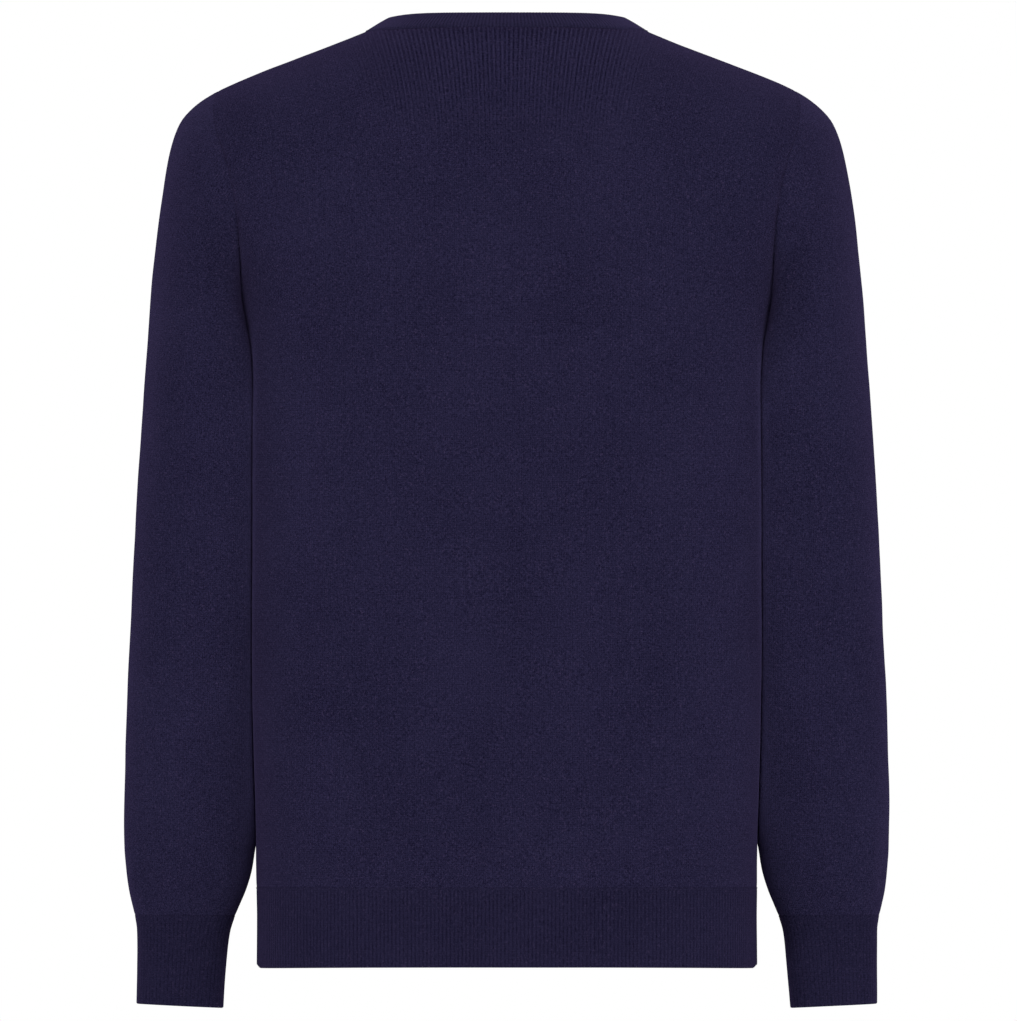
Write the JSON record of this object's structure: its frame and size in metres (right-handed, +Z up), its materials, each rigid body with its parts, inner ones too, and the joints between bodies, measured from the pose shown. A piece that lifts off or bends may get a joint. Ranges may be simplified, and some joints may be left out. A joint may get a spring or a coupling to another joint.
{
  "type": "v-neck sweater",
  "caption": "Long-sleeved fine-knit pullover with a V neckline and ribbed neckband, cuffs and hem, filled out as worn and hollow inside.",
  "frame": {"origin": "the middle of the neck opening, level with the points where the shoulder seams meet the neckband, where the wearer's neck and shoulders hold the garment", "axes": "+Z up, the front with its V neckline faces -Y, the wearer's left sleeve is at +X"},
  "size_m": [0.551, 0.231, 0.7151],
  "materials": {
    "plain_knit": "fine plain-knit wool, dark navy, matt with a slight nap",
    "rib_knit": "fine ribbed wool, dark navy, matt"
  },
  "bodies": {
    "root": {"back_panel": "plain_knit", "front_panel": "plain_knit", "sleeve_left": "plain_knit", "sleeve_right": "plain_knit", "neckband": "rib_knit", "hem_rib_back": "rib_knit", "hem_rib_front": "rib_knit", "cuff_left": "rib_knit", "cuff_right": "rib_knit"}
  },
  "joints": []
}
